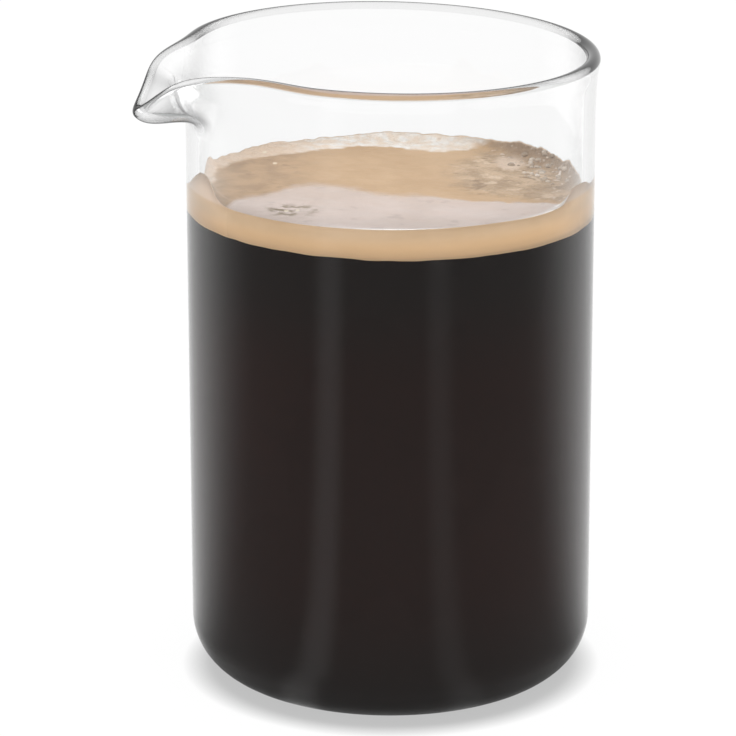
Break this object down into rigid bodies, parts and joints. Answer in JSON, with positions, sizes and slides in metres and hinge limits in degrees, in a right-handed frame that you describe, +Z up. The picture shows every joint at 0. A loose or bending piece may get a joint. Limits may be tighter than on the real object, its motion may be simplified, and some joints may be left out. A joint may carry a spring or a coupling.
{
  "type": "coffee server carafe",
  "caption": "Straight glass coffee server with a rounded base, a beaded rim and a drawn pouring spout, filled with dark coffee under a tan crema.",
  "frame": {"origin": "on the beaker's axis, in the plane of the flat ring that it stands on", "axes": "+Z up along the beaker's axis, -X towards the tip of the spout, XZ is the plane of symmetry"},
  "size_m": [0.087, 0.0754, 0.1187],
  "materials": {
    "clear_glass": "clear, fire-polished",
    "coffee": "dark liquid, gloss",
    "crema": "soft foam, satin"
  },
  "bodies": {
    "root": {"glass_beaker": "clear_glass", "coffee": "coffee", "crema": "crema"}
  },
  "joints": []
}
